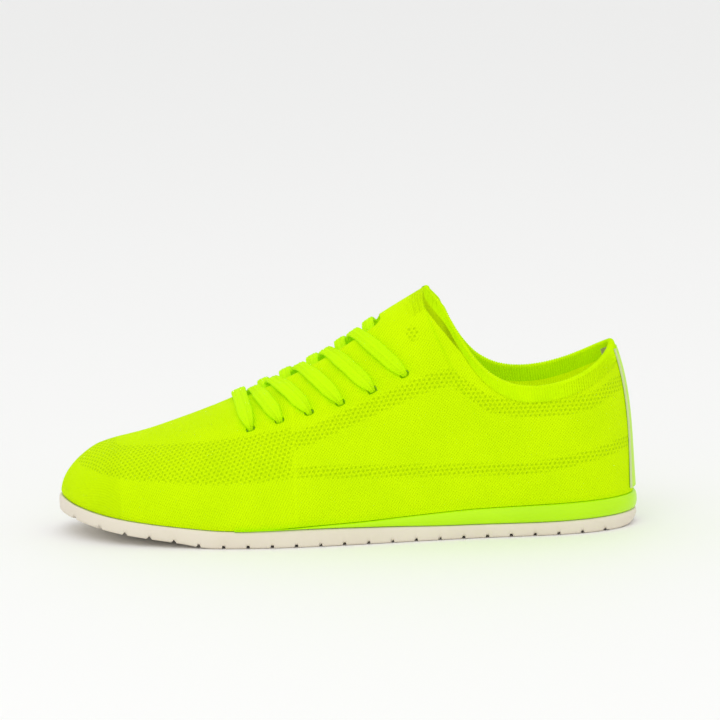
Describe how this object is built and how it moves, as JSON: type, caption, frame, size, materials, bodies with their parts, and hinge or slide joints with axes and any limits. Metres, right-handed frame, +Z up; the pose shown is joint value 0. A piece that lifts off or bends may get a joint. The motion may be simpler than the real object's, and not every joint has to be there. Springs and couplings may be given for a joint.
{
  "type": "running shoe",
  "caption": "Left running shoe with a knitted upper, flat laces over a closed throat, a foam wedge and a grooved rubber outsole; the toe bends up and the insole lifts.",
  "frame": {"origin": "centre of the bounding box at floor level, under the middle of the shoe", "axes": "+X to the toe, +Y to the outer (lateral) side of this left shoe, +Z up"},
  "size_m": [0.29, 0.1005, 0.1215],
  "materials": {
    "outsole_rubber": "matt moulded rubber",
    "midsole_foam_lime": "smooth moulded foam skin",
    "midsole_foam_pale": "cut foam",
    "lasting_board": "felted fibre board",
    "sockliner_foam": "soft foam",
    "sockliner_cloth": "fine knitted cloth",
    "knit_upper": "fine fluorescent knit",
    "knit_lining": "ribbed knit",
    "stiffener": "thin thermoplastic sheet",
    "eyestay_film": "bonded reinforcement",
    "heel_strip_film": "fine woven tape",
    "reflective_piping": "retroreflective cord",
    "heel_patch_fabric": "brushed fabric",
    "lace_fabric": "flat braided lace",
    "aglet_plastic": "clear film tip"
  },
  "bodies": {
    "rearfoot": {"outsole_rearfoot": "outsole_rubber", "midsole_rearfoot": "midsole_foam_lime", "lasting_board_rearfoot": "lasting_board", "upper_quarters": "knit_upper", "upper_flex_zone": "knit_upper", "heel_counter": "stiffener", "collar_lining": "knit_lining", "tongue_gusset": "knit_lining", "eyestay_lateral": "eyestay_film", "eyestay_medial": "eyestay_film", "heel_strip": "heel_strip_film", "heel_piping_lateral": "reflective_piping", "heel_piping_medial": "reflective_piping", "heel_patch": "heel_patch_fabric", "shoelace": "lace_fabric", "aglet_lateral": "aglet_plastic", "aglet_medial": "aglet_plastic"},
    "forefoot": {"outsole_forefoot": "outsole_rubber", "midsole_forefoot": "midsole_foam_pale", "lasting_board_forefoot": "lasting_board", "sockliner_forefoot": "sockliner_foam", "sockliner_cloth_forefoot": "sockliner_cloth", "upper_toe": "knit_upper", "toe_puff": "stiffener"},
    "sockliner": {"sockliner_rearfoot": "sockliner_foam", "sockliner_cloth_rearfoot": "sockliner_cloth"}
  },
  "joints": [
    {"name": "toe_flex", "type": "hinge", "parent": "rearfoot", "child": "forefoot", "pos_m": [0.064, 0, 0.019], "axis": [0, -1, 0], "range_deg": [0, 30], "stiffness_Nm_per_rad": 4, "deforming": ["upper_flex_zone"]},
    {"name": "sockliner_lift", "type": "hinge", "parent": "rearfoot", "child": "sockliner", "pos_m": [0.064, 0, 0.019], "axis": [0, 1, 0], "range_deg": [0, 11], "stiffness_Nm_per_rad": 1.2}
  ]
}
